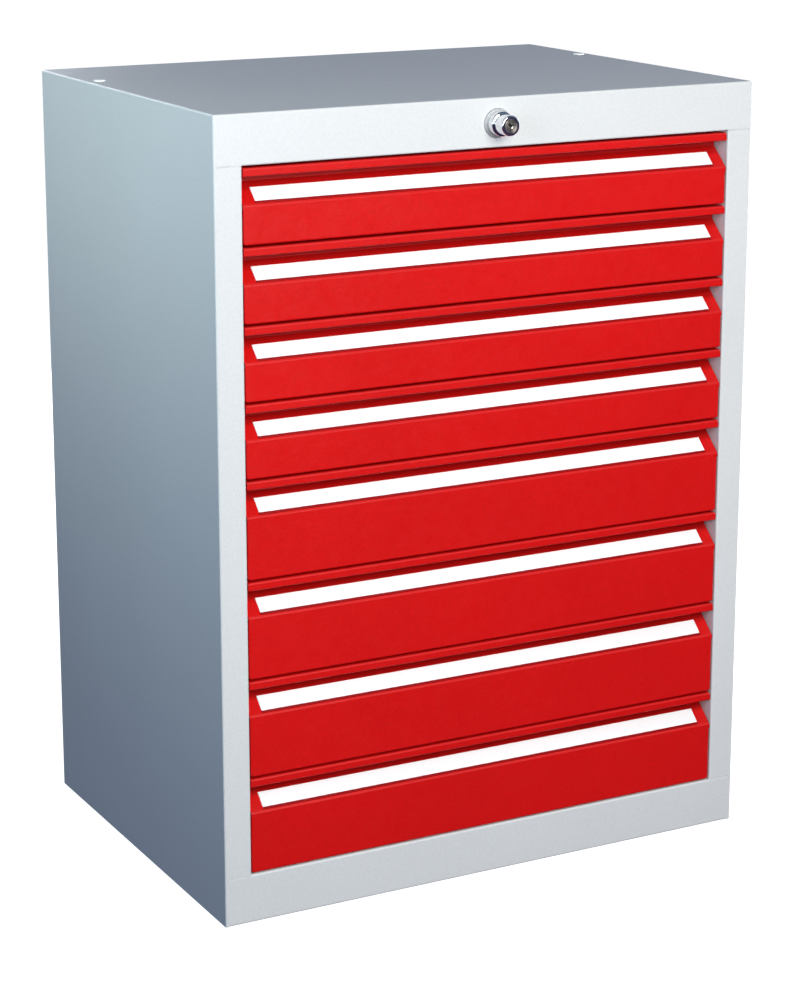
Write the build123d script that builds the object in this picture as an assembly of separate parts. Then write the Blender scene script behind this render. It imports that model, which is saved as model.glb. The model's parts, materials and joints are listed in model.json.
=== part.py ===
from build123d import *
import os

# Industrial drawer cabinet: a welded carcass of folded sheet steel with eight drawers on
# telescopic slides, and one push-button cylinder lock that works a locking bar at the back.
# Millimetres. X runs across the front, -Y faces the user and Z is up.
# The origin is on the floor, in the middle of the whole footprint, the lock's knob included.

# Cabinet
WIDTH = 600.0
DEPTH = 440.0
PLINTH_HEIGHT = 50.0
HEADER_HEIGHT = 50.0
SHALLOW_PITCH = 75.0
SHALLOW_COUNT = 4
DEEP_PITCH = 100.0
DEEP_COUNT = 4

# Folded sheet
SHEET = 1.2
BEND_RADIUS = 0.7
SEAM_INSET = 3.0
SEAM_GAP = 0.4
STILE_WIDTH = 28.5
STILE_CLEAR = 1.0
HEADER_RETURN = 25.0
REAR_FLANGE = 15.0
FOOT_FLANGE = 20.0
PANEL_PLAY = 0.3

# Plastic caps in the top
CAP_DIAMETER = 12.0
CAP_HEIGHT = 1.5
CAP_ROUND = 1.2
CAP_STEM_DIAMETER = 8.0
CAP_STEM_LENGTH = 6.0
CAP_HOLE_PLAY = 0.2
CAP_FROM_SIDE = 14.0
CAP_FROM_BACK = 129.0

# Drawer fronts
FRONT_GAP = 2.4
FRONT_SIDE_GAP = 1.0
FRONT_RECESS = 1.0
FRONT_RETURN = 12.0
FRONT_CORNER = 3.0
LIP_HEIGHT = 8.0
LIP_HEM = 4.5
LIP_ROUND = 1.1
LIP_CORNER = 3.0
GRIP_DEPTH = 22.0
GRIP_BACK_HEIGHT = 15.0
GRIP_DROP = 35.5
GRIP_APRON = 4.0
SHELF_DEPTH = 32.0

# Label strips
LABEL_LENGTH = 513.0
LABEL_WIDTH = 16.5
LABEL_THICKNESS = 0.8
LABEL_FROM_BEND = 5.0

# Drawer trays
TRAY_SHEET = 1.0
TRAY_TOP_DROP = 10.0
TRAY_REAR_SPACE = 36.0
DIVIDER_PITCH = 25.0
DIVIDER_SLOT = 2.5
DIVIDER_MARGIN = 12.0

# Catch at the back of each tray
CATCH_WIDTH = 30.0
CATCH_REACH = 15.0
CATCH_RISE = 42.0
CATCH_LIP = 5.0

# Telescopic slides
SLIDE_HEIGHT = 45.0
SLIDE_THICKNESS = 12.7
SLIDE_STEEL = 1.2
SLIDE_LIP = 2.5
SLIDE_MOUTH = 1.0
SLIDE_PLAY = 0.3
SLIDE_WEB_PLAY = 0.5
SLIDE_INSET = 2.3
SLIDE_RISE = 6.0
SLIDE_FRONT_PLAY = 0.8
SLIDE_REAR_SPACE = 15.0

# Uprights that carry the slides
UPRIGHT_WIDTH = 30.0
UPRIGHT_SHEET = 1.5
UPRIGHT_TOP_SPACE = 8.0
UPRIGHT_REAR_INSET = 10.0

# Lock
ROSETTE_DIAMETER = 29.0
ROSETTE_THICKNESS = 2.0
ROSETTE_ROUND = 1.0
HOUSING_DIAMETER = 24.4
HOUSING_STANDS_OUT = 12.0
HOUSING_ROUND = 1.8
THREAD_DIAMETER = 22.0
THREAD_LENGTH = 25.0
THREAD_PLAY = 0.1
LOCK_HOLE_PLAY = 0.2
NUT_ACROSS_FLATS = 27.0
NUT_THICKNESS = 4.0
BARREL_DIAMETER = 20.0
BARREL_LENGTH = 46.0
BARREL_ROUND = 1.4
BARREL_PLAY = 0.1
LOCK_STANDS_OUT = 27.0
LOCK_TRAVEL = 9.0
CORE_DIAMETER = 14.0
CORE_LENGTH = 30.0
CORE_PLAY = 0.05
CORE_RECESS = 0.6
KEYWAY_WIDTH = 1.8
KEYWAY_HEIGHT = 7.0
KEYWAY_DEPTH = 20.0
KEYWAY_SLANT_DEGREES = 45.0

# Push rod, ramp plate and locking bar
ROD_DIAMETER = 6.0
RAMP_THICKNESS = 3.0
RAMP_MARGIN = 5.5
PIN_DIAMETER = 5.0
PIN_PLAY = 0.3
PIN_FROM_BACK = 22.0
PIN_BELOW_ROD = 6.5
PIN_OVERHANG = 2.5
BRACKET_SHEET = 1.5
BRACKET_WIDTH = 24.0
BRACKET_FOOT = 20.0
BRACKET_FROM_BACK = 70.0
BRACKET_BELOW_ROD = 8.0
BAR_WIDTH = 24.0
BAR_THICKNESS = 3.0
BAR_BACK_GAP = 2.4
BAR_FOOT_SPACE = 8.0
EAR_GAP = 1.5
EAR_OVERLAP = 13.0
RAMP_CLEAR = 3.0
HOOK_WIDTH = 16.0
HOOK_THICKNESS = 2.0
HOOK_TIP = 6.5
HOOK_PAST_TRAY = 7.0
HOOK_STOP_SHORT = 0.5
GUIDE_SHEET = 1.5
GUIDE_HEIGHT = 20.0
GUIDE_FOOT = 12.0
GUIDE_PLAY = 0.4
GUIDE_RISE = 45.0
GUIDE_COUNT = 3

# One allowance for every cut that runs past its solid
OVERRUN = 2.0

# Planes and levels that several pieces share
PITCHES = [SHALLOW_PITCH] * SHALLOW_COUNT + [DEEP_PITCH] * DEEP_COUNT
HEIGHT = PLINTH_HEIGHT + sum(PITCHES) + HEADER_HEIGHT
HEADER_LEVEL = HEIGHT - HEADER_HEIGHT
FACE_Y = (LOCK_STANDS_OUT - DEPTH) / 2
BACK_Y = FACE_Y + DEPTH
SEAM_X = WIDTH / 2 - SEAM_INSET
INNER_X = WIDTH / 2 - SHEET
OUTER_BEND = BEND_RADIUS + SHEET
OPENING_TOP = HEADER_LEVEL + FRONT_GAP / 2
OPENING_WIDTH = WIDTH - 2 * STILE_WIDTH
FRONT_Y = FACE_Y + FRONT_RECESS
FRONT_WIDTH = OPENING_WIDTH - 2 * FRONT_SIDE_GAP
TRAY_WIDTH = OPENING_WIDTH - 2 * (SLIDE_THICKNESS + SLIDE_INSET)
TRAY_FRONT_Y = FRONT_Y + GRIP_DEPTH + SHEET
TRAY_REAR_Y = BACK_Y - TRAY_REAR_SPACE
SLIDE_FRONT_Y = TRAY_FRONT_Y + SLIDE_FRONT_PLAY
SLIDE_REAR_Y = BACK_Y - SLIDE_REAR_SPACE
UPRIGHT_X = TRAY_WIDTH / 2 + SLIDE_THICKNESS
BACK_PANEL_Y = BACK_Y - 2 * SHEET
LOCK_Z = HEADER_LEVEL + HEADER_HEIGHT / 2
BAR_BACK_Y = BACK_PANEL_Y - BAR_BACK_GAP
BAR_FRONT_Y = BAR_BACK_Y - BAR_THICKNESS
PIN_Y = BACK_Y - PIN_FROM_BACK
PIN_Z = LOCK_Z - PIN_BELOW_ROD
RAMP_BOTTOM = PIN_Z - PIN_DIAMETER / 2 - RAMP_MARGIN


def drawer_cells():
    """Number, floor level and pitch of each drawer cell, numbered from the top down."""
    cells = []
    level = HEADER_LEVEL
    for number, pitch in enumerate(PITCHES, start=1):
        level = level - pitch
        cells.append((number, level, pitch))
    return cells


def block(x0, x1, y0, y1, z0, z1):
    """Box between two corners."""
    low = (Align.MIN, Align.MIN, Align.MIN)
    return Pos(x0, y0, z0) * Box(x1 - x0, y1 - y0, z1 - z0, align=low)


def rod_y(diameter, y0, y1, x=0.0, z=0.0):
    """Cylinder along Y between two planes."""
    along = (Align.CENTER, Align.CENTER, Align.MIN)
    return Pos(x, y0, z) * Rot(X=-90) * Cylinder(diameter / 2, y1 - y0, align=along)


def rod_x(diameter, x0, x1, y, z):
    """Cylinder along X between two planes."""
    along = (Align.CENTER, Align.CENTER, Align.MIN)
    return Pos(x0, y, z) * Rot(Y=90) * Cylinder(diameter / 2, x1 - x0, align=along)


def both_sides(piece):
    """A piece and its mirror image across the cabinet."""
    return [piece, mirror(piece, about=Plane.YZ)]


def folded_section(points, thickness):
    """Section of a folded sheet. The points run along one face, and the sheet lies to their left."""
    path = [Vector(*point) for point in points]
    runs = [(b - a).normalized() for a, b in zip(path, path[1:])]
    normals = [Vector(-run.Y, run.X) for run in runs]
    far_side = [path[0] + normals[0] * thickness]
    near_radii = [0.0]
    far_radii = [0.0]
    for i in range(1, len(path) - 1):
        half_turn = normals[i - 1] + normals[i]
        reach = thickness / (half_turn.length / 2)
        far_side.append(path[i] + half_turn.normalized() * reach)
        turns_left = runs[i - 1].cross(runs[i]).Z > 0
        outside, inside = BEND_RADIUS + thickness, BEND_RADIUS
        near_radii.append(outside if turns_left else inside)
        far_radii.append(inside if turns_left else outside)
    far_side.append(path[-1] + normals[-1] * thickness)
    near_radii.append(0.0)
    far_radii.append(0.0)
    outline = path + far_side[::-1]
    return make_face(FilletPolyline(*outline, radius=near_radii + far_radii[::-1], close=True))


def along_x(section, x0, x1):
    """Extrudes a section drawn in Y and Z from x0 to x1."""
    return extrude(Plane.YZ.offset(x0) * section, amount=x1 - x0, dir=(1, 0, 0))


def along_y(section, y0, y1):
    """Extrudes a section drawn in X and Z from y0 to y1."""
    plane = Plane(origin=(0, y0, 0), x_dir=(1, 0, 0), z_dir=(0, -1, 0))
    return extrude(plane * section, amount=y1 - y0, dir=(0, 1, 0))


def along_z(section, z0, z1):
    """Extrudes a section drawn in X and Y from z0 to z1."""
    return extrude(Plane.XY.offset(z0) * section, amount=z1 - z0, dir=(0, 0, 1))


# Carcass

def carcass_skin():
    """Rounded sheet box without a floor, from which the side panels take their bent edges."""
    outer = block(-WIDTH / 2, WIDTH / 2, FACE_Y, BACK_Y, 0, HEIGHT)
    outer = fillet([e for e in outer.edges() if e.center().Z > 0], OUTER_BEND)
    inner_y0, inner_y1 = FACE_Y + SHEET, BACK_Y - SHEET
    inner = block(-INNER_X, INNER_X, inner_y0, inner_y1, -OVERRUN, HEIGHT - SHEET)
    inner = fillet([e for e in inner.edges() if e.center().Z > -OVERRUN], BEND_RADIUS)
    return outer - inner


def left_side_panel():
    """Side wall with its bent edges, stile, stile return, rear flange and foot flange."""
    keep = block(-WIDTH / 2 - OVERRUN, -SEAM_X, FACE_Y - OVERRUN, BACK_Y + OVERRUN,
                 -OVERRUN, HEIGHT + OVERRUN)
    wall = carcass_skin() & keep
    stile_x = -WIDTH / 2 + STILE_WIDTH
    stile_rear = SLIDE_FRONT_Y - STILE_CLEAR
    stile = folded_section([(-SEAM_X, FACE_Y), (stile_x, FACE_Y), (stile_x, stile_rear)], SHEET)
    wall += along_z(stile, PLINTH_HEIGHT + SEAM_GAP, OPENING_TOP - SEAM_GAP)
    wall += block(-SEAM_X, -WIDTH / 2 + REAR_FLANGE, BACK_Y - SHEET, BACK_Y,
                  0, HEIGHT - REAR_FLANGE - SEAM_GAP)
    foot_y0 = FACE_Y + FOOT_FLANGE + SEAM_GAP
    foot_y1 = BACK_PANEL_Y + SHEET - FOOT_FLANGE - SEAM_GAP
    wall += block(-INNER_X, -INNER_X + FOOT_FLANGE, foot_y0, foot_y1, 0, SHEET)
    return wall


def top_panel():
    """Top sheet with the header folded down at the front and a flange at the back."""
    header_end = (FACE_Y + HEADER_RETURN, OPENING_TOP)
    points = [(BACK_Y, HEIGHT - REAR_FLANGE), (BACK_Y, HEIGHT), (FACE_Y, HEIGHT),
              (FACE_Y, OPENING_TOP), header_end]
    panel = along_x(folded_section(points, SHEET), -SEAM_X, SEAM_X)
    hole = THREAD_DIAMETER + 2 * LOCK_HOLE_PLAY
    panel -= rod_y(hole, FACE_Y - OVERRUN, FACE_Y + SHEET + OVERRUN, z=LOCK_Z)
    for x in (-WIDTH / 2 + CAP_FROM_SIDE, WIDTH / 2 - CAP_FROM_SIDE):
        radius = CAP_STEM_DIAMETER / 2 + CAP_HOLE_PLAY
        panel -= Pos(x, BACK_Y - CAP_FROM_BACK, HEIGHT) * Cylinder(radius, 2 * OVERRUN)
    return panel


def base_panel():
    """Cabinet floor with the plinth folded down at the front."""
    points = [(BACK_PANEL_Y, PLINTH_HEIGHT), (FACE_Y, PLINTH_HEIGHT), (FACE_Y, 0),
              (FACE_Y + FOOT_FLANGE, 0)]
    panel = along_x(folded_section(points, SHEET), -SEAM_X, SEAM_X)
    floor_y0 = FACE_Y + OUTER_BEND + SEAM_GAP
    floor_y1 = BACK_PANEL_Y
    return panel + block(-INNER_X, INNER_X, floor_y0, floor_y1, PLINTH_HEIGHT - SHEET, PLINTH_HEIGHT)


def back_panel():
    """Back sheet inside the rear flanges, with a foot flange folded forward."""
    rear = BACK_PANEL_Y + SHEET
    top = HEIGHT - OUTER_BEND - PANEL_PLAY
    half = INNER_X - BEND_RADIUS - PANEL_PLAY
    section = folded_section([(rear - FOOT_FLANGE, 0), (rear, 0), (rear, top)], SHEET)
    return along_x(section, -half, half)


def slide_uprights():
    """Four folded posts, two to a side, that stand on the floor panel against the side walls."""
    posts = []
    rear_start = SLIDE_REAR_Y - UPRIGHT_REAR_INSET - UPRIGHT_WIDTH
    for y0 in (SLIDE_FRONT_Y, rear_start):
        y1 = y0 + UPRIGHT_WIDTH
        points = [(-INNER_X, y0), (-UPRIGHT_X, y0), (-UPRIGHT_X, y1), (-INNER_X, y1)]
        post = along_z(folded_section(points, UPRIGHT_SHEET), PLINTH_HEIGHT, HEIGHT - UPRIGHT_TOP_SPACE)
        posts += both_sides(post)
    return posts


def top_caps():
    """Domed plastic plugs in the two holes of the top."""
    head = Pos(0, 0, CAP_HEIGHT / 2) * Cylinder(CAP_DIAMETER / 2, CAP_HEIGHT)
    head = fillet(head.edges().sort_by(Axis.Z)[-1], CAP_ROUND)
    cap = head + Pos(0, 0, -CAP_STEM_LENGTH / 2) * Cylinder(CAP_STEM_DIAMETER / 2, CAP_STEM_LENGTH)
    return both_sides(Pos(-WIDTH / 2 + CAP_FROM_SIDE, BACK_Y - CAP_FROM_BACK, HEIGHT) * cap)


# Slides. Sections are drawn with U away from the tray wall and V up from the slide's middle.

CHANNEL_HALF = SLIDE_HEIGHT / 2
MIDDLE_HALF = CHANNEL_HALF - SLIDE_STEEL - SLIDE_PLAY
RUNNER_HALF = MIDDLE_HALF - SLIDE_STEEL - SLIDE_LIP - SLIDE_PLAY
MIDDLE_WEB = SLIDE_THICKNESS - SLIDE_STEEL - SLIDE_WEB_PLAY
MIDDLE_MOUTH = SLIDE_MOUTH + SLIDE_STEEL + SLIDE_WEB_PLAY
RUNNER_EDGE = MIDDLE_WEB - SLIDE_STEEL - SLIDE_WEB_PLAY


def mirrored_outline(upper):
    """Closed outline from its upper half."""
    return make_face(Polyline(*upper, *[(u, -v) for u, v in reversed(upper)], close=True))


def lipped_channel(web, mouth, half):
    """Channel whose web is at U = web and whose flanges end in inward lips at U = mouth."""
    lip = half - SLIDE_STEEL - SLIDE_LIP
    inner = half - SLIDE_STEEL
    upper = [(web - SLIDE_STEEL, inner), (mouth + SLIDE_STEEL, inner), (mouth + SLIDE_STEEL, lip),
             (mouth, lip), (mouth, half), (web, half)]
    return mirrored_outline(upper)


def runner_profile():
    """Drawer member: web on the tray wall, flanges that end in outward lips."""
    inner = RUNNER_HALF - SLIDE_STEEL
    tip = RUNNER_HALF + SLIDE_LIP
    neck = RUNNER_EDGE - SLIDE_STEEL
    upper = [(SLIDE_STEEL, inner), (RUNNER_EDGE, inner), (RUNNER_EDGE, tip), (neck, tip),
             (neck, RUNNER_HALF), (0, RUNNER_HALF)]
    return mirrored_outline(upper)


def slide_pair(profile, level):
    """One slide member on each side of the drawer whose cell starts at this level."""
    middle = level + FRONT_GAP / 2 + SHEET + SLIDE_RISE + SLIDE_HEIGHT / 2
    member = along_y(profile, SLIDE_FRONT_Y, SLIDE_REAR_Y)
    return both_sides(Pos(TRAY_WIDTH / 2, 0, middle) * member)


def slide_channels():
    """Cabinet members of all the slides, on the uprights."""
    profile = lipped_channel(SLIDE_THICKNESS, SLIDE_MOUTH, CHANNEL_HALF)
    return [member for _, level, _ in drawer_cells() for member in slide_pair(profile, level)]


# Drawers

def grip_profile():
    """Folded section of a front's upper part: lip, finger grip and slope, down to the apron."""
    points = [(SHEET, -LIP_HEIGHT), (SHEET, -SHEET), (GRIP_DEPTH, -SHEET),
              (GRIP_DEPTH, -GRIP_BACK_HEIGHT), (0, -GRIP_DROP), (0, -GRIP_DROP - GRIP_APRON)]
    section = folded_section(points, SHEET)
    hem = [(SHEET, -LIP_HEIGHT), (2 * SHEET, -LIP_HEIGHT), (2 * SHEET, LIP_HEM - LIP_HEIGHT),
           (SHEET, LIP_HEM - LIP_HEIGHT)]
    section = section + make_face(Polyline(*hem, close=True))
    lip_end = [v for v in section.vertices() if abs(v.Y + LIP_HEIGHT) < LIP_ROUND / 2]
    return fillet(lip_end, LIP_ROUND)


def lower_corners(solid):
    """The two lower edges of a block that run along Y."""
    return solid.edges().filter_by(Axis.Y).group_by(Axis.Z)[0]


def front_pan(bottom, top):
    """Lower part of a front: flat face with returns at both sides and along the bottom."""
    half = FRONT_WIDTH / 2
    back = FRONT_Y + FRONT_RETURN
    outer = block(-half, half, FRONT_Y, back, bottom, top)
    outer = fillet(lower_corners(outer), FRONT_CORNER)
    front_edges = outer.edges().group_by(Axis.Y)[0]
    outer = fillet([e for e in front_edges if e.center().Z < top - OVERRUN], OUTER_BEND)
    inner = block(-half + SHEET, half - SHEET, FRONT_Y + SHEET, back + OVERRUN,
                  bottom + SHEET, top + OVERRUN)
    inner = fillet(lower_corners(inner), FRONT_CORNER - SHEET)
    inner_edges = inner.edges().group_by(Axis.Y)[0]
    inner = fillet([e for e in inner_edges if e.center().Z < top], BEND_RADIUS)
    return outer - inner


def lip_corner_cut(x, top):
    """What a rounded upper corner takes off the right end of the lip."""
    centre = Pos(x - LIP_CORNER, FRONT_Y, top - LIP_CORNER)
    corner = block(0, LIP_CORNER + OVERRUN, -OVERRUN, OUTER_BEND, 0, LIP_CORNER + OVERRUN)
    return centre * (corner - rod_y(2 * LIP_CORNER, -2 * OVERRUN, 2 * OUTER_BEND))


def drawer_front(level, pitch):
    """Folded front panel with its finger grip along the top and a shelf under the tray."""
    bottom = level + FRONT_GAP / 2
    top = level + pitch - FRONT_GAP / 2
    half = FRONT_WIDTH / 2
    grip = Pos(0, FRONT_Y, top) * along_x(grip_profile(), -half, half)
    front = grip + front_pan(bottom, top - GRIP_DROP - GRIP_APRON)
    front += block(-TRAY_WIDTH / 2, TRAY_WIDTH / 2, FRONT_Y + FRONT_RETURN,
                   FRONT_Y + SHELF_DEPTH, bottom, bottom + SHEET)
    for cut in both_sides(lip_corner_cut(half, top)):
        front -= cut
    return front


def drawer_label(level, pitch):
    """White label strip that lies on the slope of the grip."""
    bend = Vector(0, -GRIP_DROP)
    uphill = (Vector(GRIP_DEPTH, -GRIP_BACK_HEIGHT) - bend).normalized()
    outward = Vector(-uphill.Y, uphill.X)
    near = bend + uphill * LABEL_FROM_BEND
    far = near + uphill * LABEL_WIDTH
    raised = outward * LABEL_THICKNESS
    section = make_face(Polyline(near, far, far + raised, near + raised, close=True))
    strip = along_x(section, -LABEL_LENGTH / 2, LABEL_LENGTH / 2)
    return Pos(0, FRONT_Y, level + pitch - FRONT_GAP / 2) * strip


def divider_slots(low, high):
    """Slots for dividers through all four walls of a tray, as one group of cutters."""
    middle = (low + high) / 2
    tall = high - low - 2 * DIVIDER_MARGIN
    long_count = int((TRAY_WIDTH - 2 * DIVIDER_MARGIN) / DIVIDER_PITCH)
    deep = TRAY_REAR_Y - TRAY_FRONT_Y
    deep_count = int((deep - 2 * DIVIDER_MARGIN) / DIVIDER_PITCH)
    across = Box(DIVIDER_SLOT, 2 * TRAY_SHEET, tall)
    along = Box(2 * TRAY_SHEET, DIVIDER_SLOT, tall)
    centre_y = (TRAY_FRONT_Y + TRAY_REAR_Y) / 2
    ends = GridLocations(DIVIDER_PITCH, deep - TRAY_SHEET, long_count, 2)
    sides = GridLocations(TRAY_WIDTH - TRAY_SHEET, DIVIDER_PITCH, 2, deep_count)
    return [Pos(0, centre_y, middle) * place * across for place in ends] + \
           [Pos(0, centre_y, middle) * place * along for place in sides]


def drawer_tray(level, pitch):
    """Open steel tray with slotted walls and a catch folded out of its back."""
    low = level + FRONT_GAP / 2 + SHEET
    high = level + pitch - TRAY_TOP_DROP
    half = TRAY_WIDTH / 2
    tray = block(-half, half, TRAY_FRONT_Y, TRAY_REAR_Y, low, high)
    tray -= block(-half + TRAY_SHEET, half - TRAY_SHEET, TRAY_FRONT_Y + TRAY_SHEET,
                  TRAY_REAR_Y - TRAY_SHEET, low + TRAY_SHEET, high + OVERRUN)
    tray -= divider_slots(low, high)
    catch_z = low + CATCH_RISE
    catch_y = TRAY_REAR_Y + CATCH_REACH
    tray += block(-CATCH_WIDTH / 2, CATCH_WIDTH / 2, TRAY_REAR_Y, catch_y, catch_z, catch_z + SHEET)
    tray += block(-CATCH_WIDTH / 2, CATCH_WIDTH / 2, catch_y - SHEET, catch_y,
                  catch_z - CATCH_LIP, catch_z)
    return tray


# Lock

def lock_rosette():
    """Ring between the header and the lock's housing."""
    ring = rod_y(ROSETTE_DIAMETER, FACE_Y - ROSETTE_THICKNESS, FACE_Y, z=LOCK_Z)
    ring = fillet(ring.edges().sort_by(Axis.Y)[0], ROSETTE_ROUND)
    hole = THREAD_DIAMETER + 2 * LOCK_HOLE_PLAY
    return ring - rod_y(hole, FACE_Y - ROSETTE_THICKNESS - OVERRUN, FACE_Y + OVERRUN, z=LOCK_Z)


def lock_housing():
    """Chromed sleeve in front of the header, with its threaded body through it."""
    front = FACE_Y - HOUSING_STANDS_OUT
    seat = FACE_Y - ROSETTE_THICKNESS
    sleeve = rod_y(HOUSING_DIAMETER, front, seat, z=LOCK_Z)
    sleeve = fillet(sleeve.edges().sort_by(Axis.Y)[0], HOUSING_ROUND)
    body = rod_y(THREAD_DIAMETER, seat, FACE_Y + THREAD_LENGTH, z=LOCK_Z)
    bore = BARREL_DIAMETER + 2 * BARREL_PLAY
    return sleeve + body - rod_y(bore, front - OVERRUN, FACE_Y + THREAD_LENGTH + OVERRUN, z=LOCK_Z)


def lock_nut():
    """Hexagon nut behind the header."""
    hexagon = RegularPolygon(NUT_ACROSS_FLATS / 2, 6, major_radius=False)
    inside = FACE_Y + SHEET
    nut = Pos(0, 0, LOCK_Z) * along_y(hexagon, inside, inside + NUT_THICKNESS)
    thread = THREAD_DIAMETER + 2 * THREAD_PLAY
    return nut - rod_y(thread, inside - OVERRUN, inside + NUT_THICKNESS + OVERRUN, z=LOCK_Z)


BARREL_FRONT_Y = FACE_Y - LOCK_STANDS_OUT
BARREL_REAR_Y = BARREL_FRONT_Y + BARREL_LENGTH


def lock_barrel():
    """Button that is pushed in to lock. It holds the core."""
    barrel = rod_y(BARREL_DIAMETER, BARREL_FRONT_Y, BARREL_REAR_Y, z=LOCK_Z)
    barrel = fillet(barrel.edges().sort_by(Axis.Y)[0], BARREL_ROUND)
    bore = CORE_DIAMETER + 2 * CORE_PLAY
    core_end = BARREL_FRONT_Y + CORE_RECESS + CORE_LENGTH
    return barrel - rod_y(bore, BARREL_FRONT_Y - OVERRUN, core_end + CORE_PLAY, z=LOCK_Z)


def lock_core():
    """Core that the key turns, with its slanted keyway."""
    front = BARREL_FRONT_Y + CORE_RECESS
    core = rod_y(CORE_DIAMETER, front, front + CORE_LENGTH, z=LOCK_Z)
    half_width, half_height = KEYWAY_WIDTH / 2, KEYWAY_HEIGHT / 2
    keyway = block(-half_width, half_width, front - OVERRUN, front + KEYWAY_DEPTH,
                   -half_height, half_height)
    return core - Pos(0, 0, LOCK_Z) * Rot(Y=-KEYWAY_SLANT_DEGREES) * keyway


def lock_rod():
    """Push rod from the barrel to the back, with the ramp plate that lifts the bar's pin."""
    reach = PIN_DIAMETER / 2 + RAMP_MARGIN
    ramp_y0 = PIN_Y - LOCK_TRAVEL - reach
    rod = rod_y(ROD_DIAMETER, BARREL_REAR_Y, ramp_y0, z=LOCK_Z)
    half = RAMP_THICKNESS / 2
    ramp = block(-half, half, ramp_y0, PIN_Y + reach, RAMP_BOTTOM, PIN_Z + LOCK_TRAVEL + reach)
    slot_width = PIN_DIAMETER + 2 * PIN_PLAY
    slot_length = (Vector(LOCK_TRAVEL, LOCK_TRAVEL)).length
    slot = Rot(Z=135) * SlotCenterToCenter(slot_length, slot_width)
    cut = along_x(slot, -half - OVERRUN, half + OVERRUN)
    ramp -= Pos(0, PIN_Y - LOCK_TRAVEL / 2, PIN_Z + LOCK_TRAVEL / 2) * cut
    return rod + ramp


def lock_rod_bracket():
    """Bracket under the top that carries the back end of the push rod."""
    under = HEIGHT - SHEET
    y0 = BACK_Y - BRACKET_FROM_BACK
    bottom = LOCK_Z - ROD_DIAMETER / 2 - BRACKET_BELOW_ROD
    points = [(y0, bottom), (y0, under), (y0 - BRACKET_FOOT, under)]
    bracket = along_x(folded_section(points, BRACKET_SHEET), -BRACKET_WIDTH / 2, BRACKET_WIDTH / 2)
    hole = ROD_DIAMETER + 2 * PIN_PLAY
    return bracket - rod_y(hole, y0 - BRACKET_SHEET - OVERRUN, y0 + OVERRUN, z=LOCK_Z)


def lock_bar():
    """Vertical bar at the back, with an ear and pin in the ramp and one hook per drawer."""
    half = BAR_WIDTH / 2
    strip_top = RAMP_BOTTOM - LOCK_TRAVEL - RAMP_CLEAR
    bar = block(-half, half, BAR_FRONT_Y, BAR_BACK_Y, PLINTH_HEIGHT + BAR_FOOT_SPACE, strip_top)
    ear_x0 = RAMP_THICKNESS / 2 + EAR_GAP
    ear_x1 = ear_x0 + BAR_THICKNESS
    reach = PIN_DIAMETER / 2 + RAMP_MARGIN
    bar += block(ear_x0, ear_x1, PIN_Y - reach, BAR_BACK_Y, strip_top - EAR_OVERLAP, PIN_Z + reach)
    bar += rod_x(PIN_DIAMETER, -RAMP_THICKNESS / 2 - PIN_OVERHANG, ear_x1, PIN_Y, PIN_Z)
    tip_y0 = TRAY_REAR_Y + HOOK_PAST_TRAY
    for _, level, _ in drawer_cells():
        lip_bottom = level + FRONT_GAP / 2 + SHEET + CATCH_RISE - CATCH_LIP
        tip_top = lip_bottom - LOCK_TRAVEL - HOOK_STOP_SHORT
        arm_z0 = tip_top - HOOK_TIP
        hook_half = HOOK_WIDTH / 2
        bar += block(-hook_half, hook_half, tip_y0, BAR_FRONT_Y, arm_z0, arm_z0 + HOOK_THICKNESS)
        bar += block(-hook_half, hook_half, tip_y0, tip_y0 + HOOK_THICKNESS, arm_z0, tip_top)
    return bar


def lock_bar_guides():
    """Hat-shaped straps that hold the locking bar to the back panel."""
    half = BAR_WIDTH / 2 + GUIDE_PLAY
    foot = half + GUIDE_SHEET + GUIDE_FOOT
    inside_y = BAR_FRONT_Y - GUIDE_PLAY
    foot_y = BACK_PANEL_Y - GUIDE_SHEET
    front_y = inside_y - GUIDE_SHEET
    wall = half + GUIDE_SHEET
    outline = [(-foot, BACK_PANEL_Y), (-half, BACK_PANEL_Y), (-half, inside_y), (half, inside_y),
               (half, BACK_PANEL_Y), (foot, BACK_PANEL_Y), (foot, foot_y), (wall, foot_y),
               (wall, front_y), (-wall, front_y), (-wall, foot_y), (-foot, foot_y)]
    strap = along_z(make_face(Polyline(*outline, close=True)), 0, GUIDE_HEIGHT)
    cells = drawer_cells()
    step = -(-len(cells) // GUIDE_COUNT)
    return [Pos(0, 0, level + GUIDE_RISE) * strap for _, level, _ in cells[1::step]]


def cabinet_pieces():
    """Every node that stays with the cabinet or belongs to the lock."""
    left = left_side_panel()
    return {
        "left_side_panel": [left],
        "right_side_panel": [mirror(left, about=Plane.YZ)],
        "top_panel": [top_panel()],
        "base_panel": [base_panel()],
        "back_panel": [back_panel()],
        "slide_uprights": slide_uprights(),
        "slide_channels": slide_channels(),
        "top_caps": top_caps(),
        "lock_rosette": [lock_rosette()],
        "lock_housing": [lock_housing()],
        "lock_nut": [lock_nut()],
        "lock_barrel": [lock_barrel()],
        "lock_core": [lock_core()],
        "lock_rod": [lock_rod()],
        "lock_rod_bracket": [lock_rod_bracket()],
        "lock_bar": [lock_bar()],
        "lock_bar_guides": lock_bar_guides(),
    }


def drawer_pieces():
    """The nodes of all the drawers, numbered from the top down."""
    pieces = {}
    middle = lipped_channel(MIDDLE_WEB, MIDDLE_MOUTH, MIDDLE_HALF)
    for number, level, pitch in drawer_cells():
        name = f"drawer_{number}"
        pieces[f"{name}_front"] = [drawer_front(level, pitch)]
        pieces[f"{name}_label"] = [drawer_label(level, pitch)]
        pieces[f"{name}_tray"] = [drawer_tray(level, pitch)]
        pieces[f"{name}_runners"] = slide_pair(runner_profile(), level)
        pieces[f"{name}_slide_middles"] = slide_pair(middle, level)
    return pieces


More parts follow.
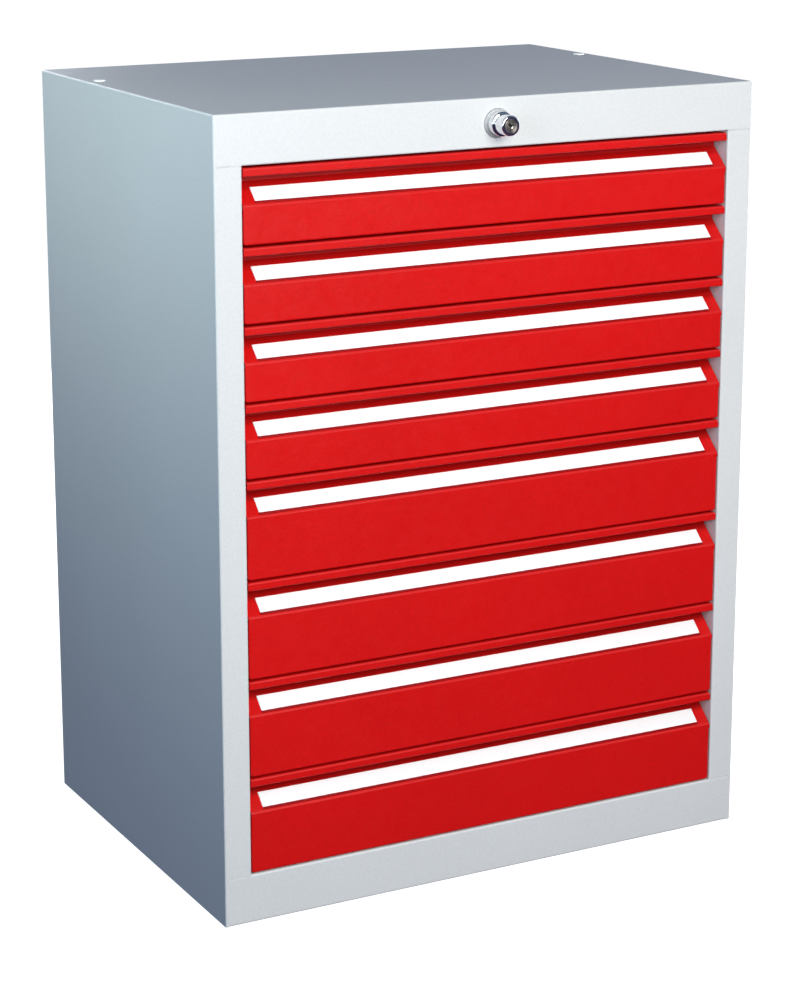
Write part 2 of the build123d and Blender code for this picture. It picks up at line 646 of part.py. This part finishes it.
os.makedirs("parts", exist_ok=True)
for node, solids in {**cabinet_pieces(), **drawer_pieces()}.items():
    export_step(Compound(children=solids), f"parts/{node}.step")
    print(node, len(solids))
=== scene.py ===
"""Looks of the drawer cabinet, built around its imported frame. Metres, in the frame's own axes."""
import json
import math

import bmesh
import bpy
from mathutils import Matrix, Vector


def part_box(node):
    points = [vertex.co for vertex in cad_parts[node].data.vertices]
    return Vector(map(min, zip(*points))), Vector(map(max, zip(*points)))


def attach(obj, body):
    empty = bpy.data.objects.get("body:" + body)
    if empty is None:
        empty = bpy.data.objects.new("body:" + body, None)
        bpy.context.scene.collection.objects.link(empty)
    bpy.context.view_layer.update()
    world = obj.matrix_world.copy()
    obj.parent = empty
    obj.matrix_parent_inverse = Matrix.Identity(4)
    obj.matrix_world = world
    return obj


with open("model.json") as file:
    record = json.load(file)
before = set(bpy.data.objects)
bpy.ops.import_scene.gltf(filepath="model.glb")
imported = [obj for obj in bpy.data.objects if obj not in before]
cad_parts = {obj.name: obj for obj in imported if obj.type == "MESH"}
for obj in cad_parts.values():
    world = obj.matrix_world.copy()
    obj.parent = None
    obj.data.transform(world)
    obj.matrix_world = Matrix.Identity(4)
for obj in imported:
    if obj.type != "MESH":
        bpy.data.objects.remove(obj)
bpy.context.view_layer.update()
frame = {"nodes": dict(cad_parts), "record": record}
nodes = frame["nodes"]

DRAWERS = range(1, 9)
MM = 0.001
# Distance that keeps two faces from lying in one plane
HAIR = 0.02 * MM
# Range that holds most values of a noise texture
MIDDLE = (0.3, 0.7)


# Materials

class Graph:
    """A node tree, with helpers for the nodes that feed its shader."""

    def __init__(self, tree):
        self.tree = tree

    def node(self, kind, **inputs):
        """A new node with its inputs given by name, an underscore standing for a space."""
        made = self.tree.nodes.new(kind)
        for socket, value in inputs.items():
            self.feed(made, socket.replace("_", " "), value)
        return made

    def feed(self, node, socket, value):
        """Sets an input to a value, or links it to an output."""
        if isinstance(value, bpy.types.NodeSocket):
            self.tree.links.new(value, node.inputs[socket])
        else:
            node.inputs[socket].default_value = value

    def along(self, vector, axis):
        """One component of a vector."""
        return self.node("ShaderNodeSeparateXYZ", Vector=vector).outputs[axis]

    def levels(self, factor, low, high, start=MIDDLE[0], end=MIDDLE[1]):
        """A value that runs from low to high while the factor runs from start to end."""
        made = self.node("ShaderNodeMapRange", Value=factor, From_Min=start, From_Max=end,
                         To_Min=low, To_Max=high)
        return made.outputs["Result"]

    def ramp(self, factor, stops):
        """Colours along a factor: stops are (position, colour)."""
        made = self.node("ShaderNodeValToRGB", Fac=factor)
        elements = made.color_ramp.elements
        while len(elements) < len(stops):
            elements.new(0.5)
        for element, (position, colour) in zip(elements, stops):
            element.position = position
            element.color = (*colour, 1.0)
        return made.outputs["Color"]


class Surface(Graph):
    """A Principled material and the textures that feed it."""

    def __init__(self, name, **values):
        self.material = bpy.data.materials.new(name)
        self.material.use_nodes = True
        super().__init__(self.material.node_tree)
        self.shader = self.tree.nodes["Principled BSDF"]
        for socket, value in values.items():
            self.set(socket.replace("_", " "), value)
        coordinates = self.node("ShaderNodeTexCoord")
        self.place = coordinates.outputs["Object"]
        self.facing = coordinates.outputs["Normal"]

    def set(self, socket, value):
        """Sets or links an input of the shader."""
        self.feed(self.shader, socket, value)

    def mapped(self, scale, location=(0.0, 0.0, 0.0)):
        """The object's coordinates, scaled along each axis and then moved."""
        made = self.node("ShaderNodeMapping", Vector=self.place, Location=location, Scale=scale)
        return made.outputs["Vector"]

    def noise(self, scale, detail=2.0, roughness=0.5, place=None):
        """Noise, its scale being about the number of waves to one unit of its place."""
        made = self.node("ShaderNodeTexNoise", Vector=place or self.place, Scale=scale, Detail=detail,
                         Roughness=roughness)
        return made.outputs["Fac"]

    def cells(self, scale):
        """Random tone for each cell of a Voronoi pattern."""
        return self.node("ShaderNodeTexVoronoi", Vector=self.place, Scale=scale).outputs["Color"]

    def tones(self, factor, dark, light):
        """Colours from dark to light over the middle of a factor's range."""
        return self.ramp(factor, list(zip(MIDDLE, (dark, light))))

    def vector_math(self, operation, *vectors, **inputs):
        """A vector operation, with its vectors in order and its other inputs by name."""
        made = self.node("ShaderNodeVectorMath")
        made.operation = operation
        for socket, value in (*enumerate(vectors), *inputs.items()):
            self.feed(made, socket, value)
        return made

    def shaded(self, colour, factor):
        """A colour multiplied by a grey factor."""
        return self.vector_math("SCALE", colour, Scale=factor).outputs["Vector"]

    def lightened(self, colour, white):
        """A colour with some white added."""
        return self.vector_math("ADD", colour, white).outputs["Vector"]

    def bump(self, height, strength, distance, under=None):
        """Relief on the shader, on top of the relief under it."""
        made = self.node("ShaderNodeBump", Height=height, Strength=strength, Distance=distance)
        if under is not None:
            self.feed(made, "Normal", under)
        self.set("Normal", made.outputs["Normal"])
        return made.outputs["Normal"]


def linear(*display):
    """Linear colour from display values of 0 to 255, by the sRGB curve."""
    shares = [value / 255 for value in display]
    return tuple(s / 12.92 if s <= 0.04045 else ((s + 0.055) / 1.055) ** 2.4 for s in shares)


def near(colour, share):
    """A colour times a share, kept within 1."""
    return tuple(min(1.0, channel * share) for channel in colour)


# Painted shade: brightness left deep in the drawer fronts' grip; painted highlight: white added along their
# upper folds
PAINTED_GRIP_SHADE, PAINTED_FOLD_WHITE = 0.66, 0.011


def painted_front_light(paint, colour):
    """Coat of the drawer fronts with painted light: painted shade darkens it deep in the grip, painted
    highlights lighten it along the upper folds.
    """
    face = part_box("drawer_1_front")[0].y
    depth, upward = paint.along(paint.place, "Y"), paint.along(paint.facing, "Z")
    # Painted shade deep in the grip, kept off the faces that look up
    darkest = paint.levels(upward, PAINTED_GRIP_SHADE, 1.0, start=0.8, end=0.95)
    grip_shade = paint.levels(depth, 1.0, darkest, start=face + 12.5 * MM, end=face + 16 * MM)
    # Painted highlight along the upper folds, just behind the face
    lightest = paint.levels(upward, 0.0, PAINTED_FOLD_WHITE, start=0.15, end=0.5)
    fold_highlight = paint.levels(depth, lightest, 0.0, start=face + 1.2 * MM, end=face + 2.2 * MM)
    return paint.lightened(paint.shaded(colour, grip_shade), fold_highlight)


def powder_coat(name, colour, specular, roughness, grain=0.5, speckle=0.035, cloud=0.012, painted_light=None):
    """Baked powder paint: faint cloudiness, fine speckle, orange peel and a sandy grain."""
    paint = Surface(name, Specular_IOR_Level=specular)
    clouds = paint.noise(7.0, detail=3.0)
    tint = paint.tones(clouds, near(colour, 1 - cloud), near(colour, 1 + cloud))
    grains = paint.noise(430.0, roughness=0.6)
    coat = paint.shaded(tint, paint.levels(grains, 1 - speckle, 1 + speckle))
    # Where given, painted_light adds painted shade and painted highlights to the coat
    paint.set("Base Color", painted_light(paint, coat) if painted_light else coat)
    paint.set("Roughness", paint.levels(paint.noise(90.0), roughness - 0.04, roughness + 0.05))
    waves = paint.bump(paint.noise(170.0, detail=1.0), strength=0.16, distance=0.5 * MM)
    paint.bump(grains, strength=grain, distance=0.2 * MM, under=waves)
    return paint.material


def galvanised(name):
    """Zinc-plated sheet with a soft spangle."""
    zinc = Surface(name, Metallic=1.0)
    crystals = zinc.cells(95.0)
    tone = zinc.tones(zinc.noise(9.0, detail=3.0), linear(150, 156, 160), linear(178, 184, 187))
    zinc.set("Base Color", zinc.shaded(tone, zinc.levels(crystals, 0.86, 1.06, start=0.0, end=1.0)))
    zinc.set("Roughness", zinc.levels(crystals, 0.34, 0.5, start=0.0, end=1.0))
    zinc.bump(zinc.noise(380.0), strength=0.12, distance=0.1 * MM)
    return zinc.material


def drawn_steel(name):
    """Bright plated slide steel with fine lines along its length and a film of grease."""
    steel = Surface(name, Metallic=1.0)
    lines = steel.noise(1.0, detail=1.0, place=steel.mapped(scale=(380.0, 5.0, 380.0)))
    film = steel.noise(14.0)
    steel.set("Base Color", steel.tones(lines, linear(182, 184, 187), linear(202, 204, 206)))
    steel.set("Roughness", steel.levels(film, 0.36, 0.46))
    steel.bump(lines, strength=0.1, distance=0.05 * MM)
    return steel.material


def chrome(name, roughness=(0.06, 0.13), tone=232):
    """Polished or, with a higher roughness, satin plating."""
    plated = Surface(name, Metallic=1.0)
    haze = plated.noise(240.0, detail=3.0)
    dark, light = linear(tone - 18, tone - 16, tone - 13), linear(tone, tone + 1, tone + 3)
    plated.set("Base Color", plated.tones(haze, dark, light))
    plated.set("Roughness", plated.levels(haze, *roughness))
    plated.bump(plated.noise(900.0), strength=0.04, distance=0.02 * MM)
    return plated.material


def dark_nickel(name, axis):
    """Nickel with fine turned rings around an axis along Y."""
    nickel = Surface(name, Metallic=1.0)
    from_axis = nickel.mapped(scale=(1.0, 0.0, 1.0), location=(-axis.x, 0.0, -axis.z))
    radius = nickel.vector_math("LENGTH", from_axis).outputs["Value"]
    outward = nickel.node("ShaderNodeCombineXYZ", X=radius).outputs["Vector"]
    rings = nickel.noise(1500.0, roughness=0.6, place=outward)
    nickel.set("Base Color", nickel.tones(rings, linear(104, 98, 92), linear(160, 153, 146)))
    nickel.set("Roughness", nickel.levels(nickel.noise(500.0), 0.26, 0.42))
    nickel.bump(rings, strength=0.5, distance=0.06 * MM)
    return nickel.material


def moulded(name, colour, specular, roughness, grain=300.0):
    """Moulded plastic with a fine grain."""
    plastic = Surface(name, Specular_IOR_Level=specular)
    specks = plastic.noise(grain, detail=3.0)
    plastic.set("Base Color", plastic.tones(specks, near(colour, 0.96), colour))
    plastic.set("Roughness", plastic.levels(specks, roughness - 0.04, roughness + 0.06))
    plastic.bump(specks, strength=0.08, distance=0.06 * MM)
    return plastic.material


core_low, core_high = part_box("lock_core")
LOCK_AXIS = Vector(((core_low.x + core_high.x) / 2, 0.0, (core_low.z + core_high.z) / 2))

BY_SLOT = {
    "cabinet_grey": powder_coat("cabinet_grey_paint", linear(209, 211, 211), specular=0.35,
                                roughness=0.42, grain=0.9),
    # The red coat gets painted shade in the grips and painted highlights along the folds
    "drawer_red": powder_coat("drawer_red_paint", linear(202, 17, 16), specular=0.22, roughness=0.36,
                              grain=0.7, speckle=0.06, cloud=0.03, painted_light=painted_front_light),
    "tray_grey": powder_coat("tray_grey_paint", linear(190, 196, 200), specular=0.35, roughness=0.5),
    "zinc_sheet": galvanised("zinc_sheet_metal"),
    "slide_steel": drawn_steel("slide_steel_metal"),
    "lock_chrome": chrome("lock_chrome_metal"),
    "lock_nickel": dark_nickel("lock_nickel_metal", LOCK_AXIS),
    "label_white": moulded("label_white_strip", (0.95, 0.95, 0.95), specular=0.4, roughness=0.34,
                           grain=700.0),
    "cap_white": moulded("cap_white_plastic", (0.88, 0.88, 0.86), specular=0.5, roughness=0.36),
}
lock_satin = chrome("lock_satin_metal", roughness=(0.66, 0.76), tone=200)
# Dark red of the label beads is painted shade, standing for the shadow under each label
bead_painted_shade = moulded("label_bead_painted_shade", linear(146, 6, 9), specular=0.15, roughness=0.5)

for part in frame["record"]["subparts"]:
    for slot in nodes[part["node"]].material_slots:
        slot.material = BY_SLOT[part["material_slot"]]
nodes["lock_rosette"].material_slots[0].material = lock_satin


# Pieces

def mesh_object(name, build, material):
    """An object in the scene with the mesh that build(bmesh) makes."""
    mesh = bpy.data.meshes.new(name)
    made = bmesh.new()
    build(made)
    bmesh.ops.recalc_face_normals(made, faces=made.faces)
    made.to_mesh(mesh)
    made.free()
    mesh.materials.append(material)
    thing = bpy.data.objects.new(name, mesh)
    bpy.context.scene.collection.objects.link(thing)
    return thing


def piece(name, build, body, slot, material=None):
    """A mesh object that rides on a CAD body, in its slot's material unless another is given."""
    thing = mesh_object(name, build, material or BY_SLOT[slot])
    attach(thing, body)


def metres(*points):
    """Points in metres, from points in millimetres."""
    return [(a * MM, b * MM) for a, b in points]


def turn(steps):
    """Angles of one full turn."""
    return [2 * math.pi * i / steps for i in range(steps)]


def half_round(half_width, height, steps=8):
    """Section of a half-round bead on a flat, as (across, up) points."""
    arc = [math.pi * i / steps for i in range(steps + 1)]
    return [(half_width * math.cos(a), height * math.sin(a)) for a in arc]


def skin(made, loops):
    """Faces between neighbouring loops, which all have the same number of vertices."""
    for a, b in zip(loops, loops[1:]):
        for i in range(len(a)):
            j = (i + 1) % len(a)
            made.faces.new((a[i], a[j], b[j], b[i]))


def sweep(made, rings, closed=True):
    """Skin over rings of points, with end faces unless the sweep is closed on itself."""
    loops = [[made.verts.new(point) for point in ring] for ring in rings]
    skin(made, loops + loops[:1] if closed else loops)
    if not closed:
        made.faces.new(loops[0])
        made.faces.new(loops[-1])


def dome(made, centre, axis, profile, steps=20):
    """Round head turned around an axis from (radius, height) points, the last one on the axis."""
    aside = axis.orthogonal().normalized()
    beside = axis.cross(aside)
    ring = [aside * math.cos(a) + beside * math.sin(a) for a in turn(steps)]
    loops = [[made.verts.new(centre + axis * up + out * radius) for out in ring]
             for radius, up in profile[:-1]]
    last, tip = loops[-1], made.verts.new(centre + axis * profile[-1][1])
    made.faces.new(loops[0])
    skin(made, loops)
    for i in range(steps):
        made.faces.new((last[i], last[(i + 1) % steps], tip))


# Bead that holds each label along its lower edge, and laps over it; its dark red is painted shade, standing
# for the shadow under the label

BEAD_HALF_WIDTH, BEAD_HEIGHT, BEAD_LAP = 1.5 * MM, 1.15 * MM, 0.45 * MM


def label_bead(made, number):
    low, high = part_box(f"drawer_{number}_label")
    # The strip's lowest and rearmost corners both lie on the slope that carries it.
    corners = [v.co for v in nodes[f"drawer_{number}_label"].data.vertices]
    lowest = min(corners, key=lambda corner: corner.z)
    rearmost = max(corners, key=lambda corner: corner.y)
    slope = Vector((0, rearmost.y - lowest.y, rearmost.z - lowest.z)).normalized()
    outward = Vector((0, -slope.z, slope.y))
    centre = Vector((0, lowest.y, lowest.z)) - slope * (BEAD_HALF_WIDTH - BEAD_LAP)
    section = half_round(BEAD_HALF_WIDTH, BEAD_HEIGHT)
    sweep(made, [[Vector((x, 0, 0)) + centre + slope * across + outward * up for across, up in section]
                 for x in (low.x, high.x)], closed=False)


for n in DRAWERS:
    piece(f"drawer_{n}_label_bead", lambda made: label_bead(made, n), f"drawer_{n}", "drawer_red", bead_painted_shade)


# Hem along the top of each tray

# Thickness of a tray's walls, and how far the catch for the locking bar stands out behind them
TRAY_WALL, CATCH_REACH = 1.0 * MM, 15.0 * MM
# Section of the hem, as (outward, up) from the top inner edge of the wall
HEM = metres((0, -4.5), (-1.4, -4.5), (-1.5, -2.25), (-1.4, -0.5), (-0.7, 0.25), (0.2, 0.35), (0.7, 0.2),
             (0.7, 0.02), (0, 0.02))


def tray_hem(made, number):
    low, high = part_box(f"drawer_{number}_tray")
    x0, x1 = low.x + TRAY_WALL, high.x - TRAY_WALL
    y0, y1 = low.y + TRAY_WALL, high.y - CATCH_REACH - TRAY_WALL
    corners = ((x0, y0, -1, -1), (x1, y0, 1, -1), (x1, y1, 1, 1), (x0, y1, -1, 1))
    sweep(made, [[Vector((x + side * out, y + end * out, high.z + up)) for out, up in HEM]
                 for x, y, side, end in corners])


for n in DRAWERS:
    piece(f"drawer_{n}_tray_hem", lambda made: tray_hem(made, n), f"drawer_{n}", "tray_grey")


# Filled seams where the header and the plinth meet the stiles

face_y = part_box("top_panel")[0].y
header_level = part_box("top_panel")[0].z
plinth_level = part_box("base_panel")[1].z
# Level of each joint, and how far its filling reaches below and above
SEAMS = {"header": (header_level, 0.7 * MM, 2.4 * MM), "plinth": (plinth_level, 2.4 * MM, 0.7 * MM)}
# Distance of a filling's two ends from the ends of the stile, at its -X and its +X end
SEAM_INSETS = {"left": (3.2 * MM, 0.4 * MM), "right": (0.4 * MM, 3.2 * MM)}
SEAM_BEHIND_FACE, SEAM_DEPTH = 0.1 * MM, 1.1 * MM
GROOVE_HALF_WIDTH, GROOVE_DEPTH = 0.4 * MM, 0.75 * MM


def seam_fill(made, x0, x1, level, below, above):
    """Filler and paint just behind the face of the sheets, with a shallow groove along the joint."""
    front = face_y + SEAM_BEHIND_FACE
    section = [(front + SEAM_DEPTH, level - below), (front, level - below),
               (front, level - GROOVE_HALF_WIDTH), (front + GROOVE_DEPTH, level),
               (front, level + GROOVE_HALF_WIDTH), (front, level + above),
               (front + SEAM_DEPTH, level + above)]
    sweep(made, [[Vector((x, y, z)) for y, z in section] for x in (x0, x1)], closed=False)


for side, insets in SEAM_INSETS.items():
    stile_low, stile_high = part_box(f"{side}_side_panel")
    ends = stile_low.x + insets[0], stile_high.x - insets[1]
    for where, levels in SEAMS.items():
        piece(f"{where}_seam_{side}", lambda made: seam_fill(made, *ends, *levels), "cabinet", "cabinet_grey")


# Spot welds and rivets

# Profiles of the heads, as (radius, height)
WELD = metres((4.4, -0.05), (3.9, 0.3), (3.4, 0.4), (2.8, 0.12), (0, 0.06))
RIVET = metres((3.6, -0.05), (3.5, 0.45), (2.9, 0.85), (1.8, 1.05), (1.0, 1.0), (0.7, 0.6), (0, 0.55))
# Distance of the welds from the sides and from the ends of a guide's foot
WELD_INSET_X, WELD_INSET_Z = 6 * MM, 5 * MM
# Thickness of a runner's web, and the distance from one of its rivets to the next
RUNNER_WEB, RIVET_SPACING = 1.2 * MM, 150 * MM


def back_welds(made):
    """Marks on the back where the feet of the locking bar's guides are welded on inside."""
    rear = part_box("back_panel")[1].y
    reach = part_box("lock_bar_guides")[1].x - WELD_INSET_X
    levels = sorted({round(v.co.z, 4) for v in nodes["lock_bar_guides"].data.vertices})
    for z0, z1 in zip(levels[::2], levels[1::2]):
        for x in (-reach, reach):
            for z in (z0 + WELD_INSET_Z, z1 - WELD_INSET_Z):
                dome(made, Vector((x, rear, z)), Vector((0, 1, 0)), WELD)


def runner_rivets(made, number):
    """Rivets that hold a drawer's runners, with a head on each side of the tray's wall."""
    low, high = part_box(f"drawer_{number}_tray")
    runner_low, runner_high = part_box(f"drawer_{number}_runners")
    z = (runner_low.z + runner_high.z) / 2
    middle = (low.y + high.y - CATCH_REACH) / 2
    for side in (-1, 1):
        for y in (middle - RIVET_SPACING, middle, middle + RIVET_SPACING):
            dome(made, Vector((side * (high.x - TRAY_WALL), y, z)), Vector((-side, 0, 0)), RIVET)
            dome(made, Vector((side * (high.x + RUNNER_WEB), y, z)), Vector((side, 0, 0)), RIVET)


piece("back_spot_welds", back_welds, "cabinet", "cabinet_grey")
for n in DRAWERS:
    piece(f"drawer_{n}_rivets", lambda made: runner_rivets(made, n), f"drawer_{n}", "zinc_sheet")


# Lock details

CORE_FACE = LOCK_AXIS + Vector((0, core_low.y + HAIR, 0))
# Radius of each ring on the core, half its width and its height
CORE_RINGS = {
    "lock_core_rim": (6.1 * MM, 0.6 * MM, 0.42 * MM),
    "lock_core_bead": (4.25 * MM, 0.45 * MM, 0.35 * MM),
}
# Distance of the keyway's lip from the lock's axis, and half its length, half its width and its height
LIP_OFFSET, LIP_HALF_LENGTH, LIP_HALF_WIDTH, LIP_HEIGHT = 2.5 * MM, 1.6 * MM, 0.75 * MM, 0.55 * MM
# Size of the lip's section along its length, as (share of the half length, share of the full section)
LIP_TAPER = ((-1.0, 0.35), (-0.8, 0.85), (-0.4, 1.0), (0.4, 1.0), (0.8, 0.85), (1.0, 0.35))


def core_ring(made, radius, half_width, height, steps=64):
    """Ring turned around the lock's axis on the face of its core."""
    section = half_round(half_width, height)
    rings = []
    for angle in turn(steps):
        out = Vector((math.cos(angle), 0, math.sin(angle)))
        rings.append([CORE_FACE + out * (radius + across) - Vector((0, up, 0)) for across, up in section])
    sweep(made, rings)


def keyway_lip(made):
    """Short polished bar across the lower end of the slanted keyway."""
    along = Vector((1, 0, -1)).normalized()
    across = Vector((1, 0, 1)).normalized()
    centre = CORE_FACE + along * LIP_OFFSET
    section = half_round(LIP_HALF_WIDTH, LIP_HEIGHT)
    sweep(made, [[centre + across * share * LIP_HALF_LENGTH + along * a * size - Vector((0, up * size, 0))
                  for a, up in section] for share, size in LIP_TAPER], closed=False)


for name, sizes in CORE_RINGS.items():
    piece(name, lambda made: core_ring(made, *sizes), "lock_core", "lock_nickel")
piece("lock_keyway_lip", keyway_lip, "lock_core", "lock_chrome")


# Floor, light and camera

# Colours of the sky by height, from straight down at 0 to straight up at 1
SKY = [(0.0, (0.03, 0.02, 0.06)), (0.48, (0.04, 0.04, 0.09)), (0.52, (0.22, 0.30, 0.52)),
       (0.7, (0.15, 0.19, 0.28)), (1.0, (0.05, 0.06, 0.08))]
# Place of each lamp, the point it is aimed at, its size, its power in watts and its colour
LAMPS = {
    "key": ((-0.1, -2.15, 1.3), (0.0, -0.2, 0.62), (1.0, 1.2), 54.8, (1.0, 0.985, 0.93)),
    "fill": ((-1.35, -0.95, 1.05), (0.0, -0.1, 0.55), (0.7, 0.9), 5.5, (0.5, 0.76, 1.0)),
    "left": ((-0.78, 0.02, 0.84), (0.0, 0.02, 0.84), (1.0, 0.12), 2.3, (0.84, 1.0, 0.94)),
    "right": ((1.3, 0.05, 0.75), (0.0, 0.05, 0.6), (1.0, 0.9), 9.0, (0.96, 0.98, 1.0)),
    "rear": ((-0.2, 2.2, 1.2), (0.0, 0.2, 0.6), (1.2, 0.9), 22.0, (0.97, 0.98, 1.0)),
    "rear_low": ((0.3, 2.3, 0.45), (0.0, 0.2, 0.4), (1.2, 0.7), 15.0, (1.0, 0.98, 0.96)),
}
FLOOR_HALF_SIZE, BACKDROP_RADIUS = 30.0, 16.0
# The camera's place, its lens in mm, its shift, and in degrees how far it looks down and to the right
CAMERA_PLACE, LENS, SHIFT = (-1.28504, -2.41074, 1.0969), 95.17, -0.08
LOOKS_DOWN, LOOKS_RIGHT = 13.607, 28.092


def staged(name, build, material):
    """Scenery that the camera sees and that throws no light on the object."""
    thing = mesh_object(name, build, material)
    thing.visible_diffuse = False
    thing.visible_glossy = False


def pale_paper(name, glow, tone):
    """Paper that glows by itself, with a faint grain."""
    pale = Surface(name, Specular_IOR_Level=0.0, Roughness=0.9, Emission_Strength=glow,
                   Emission_Color=(1.0, 1.0, 1.0, 1.0))
    pale.set("Base Color", pale.tones(pale.noise(3.0), (tone - 0.01,) * 3, (tone + 0.01,) * 3))
    return pale.material


def sky():
    """Dim cool dome, almost dark below the horizon."""
    world = bpy.data.worlds.new("studio")
    bpy.context.scene.world = world
    world.use_nodes = True
    graph = Graph(world.node_tree)
    direction = graph.node("ShaderNodeTexCoord").outputs["Generated"]
    height = graph.levels(graph.along(direction, "Z"), 0.0, 1.0, start=-1.0, end=1.0)
    graph.feed(graph.tree.nodes["Background"], "Color", graph.ramp(height, SKY))


def softbox(name, place, target, size, power, colour):
    """Rectangular lamp that the camera doesn't see."""
    lamp = bpy.data.lights.new(name, "AREA")
    lamp.shape = "RECTANGLE"
    lamp.size, lamp.size_y = size
    lamp.energy = power
    lamp.color = colour
    box = bpy.data.objects.new(name, lamp)
    box.location = place
    box.rotation_euler = (Vector(target) - Vector(place)).to_track_quat("-Z", "Y").to_euler()
    box.visible_camera = False
    bpy.context.scene.collection.objects.link(box)


def floor(made):
    bmesh.ops.create_grid(made, x_segments=1, y_segments=1, size=FLOOR_HALF_SIZE)


def backdrop(made):
    bmesh.ops.create_uvsphere(made, u_segments=48, v_segments=24, radius=BACKDROP_RADIUS)


staged("floor", floor, pale_paper("floor_paper", glow=0.985, tone=0.4))
staged("backdrop", backdrop, pale_paper("backdrop_paper", glow=1.0, tone=0.02))
sky()
for name, settings in LAMPS.items():
    softbox(name, *settings)

camera_data = bpy.data.cameras.new("camera")
camera_data.lens = LENS
camera_data.shift_y = SHIFT
camera = bpy.data.objects.new("camera", camera_data)
camera.location = CAMERA_PLACE
camera.rotation_euler = (math.radians(90 - LOOKS_DOWN), 0.0, math.radians(-LOOKS_RIGHT))
bpy.context.scene.collection.objects.link(camera)
bpy.context.scene.camera = camera
bpy.context.scene.view_settings.view_transform = "Standard"
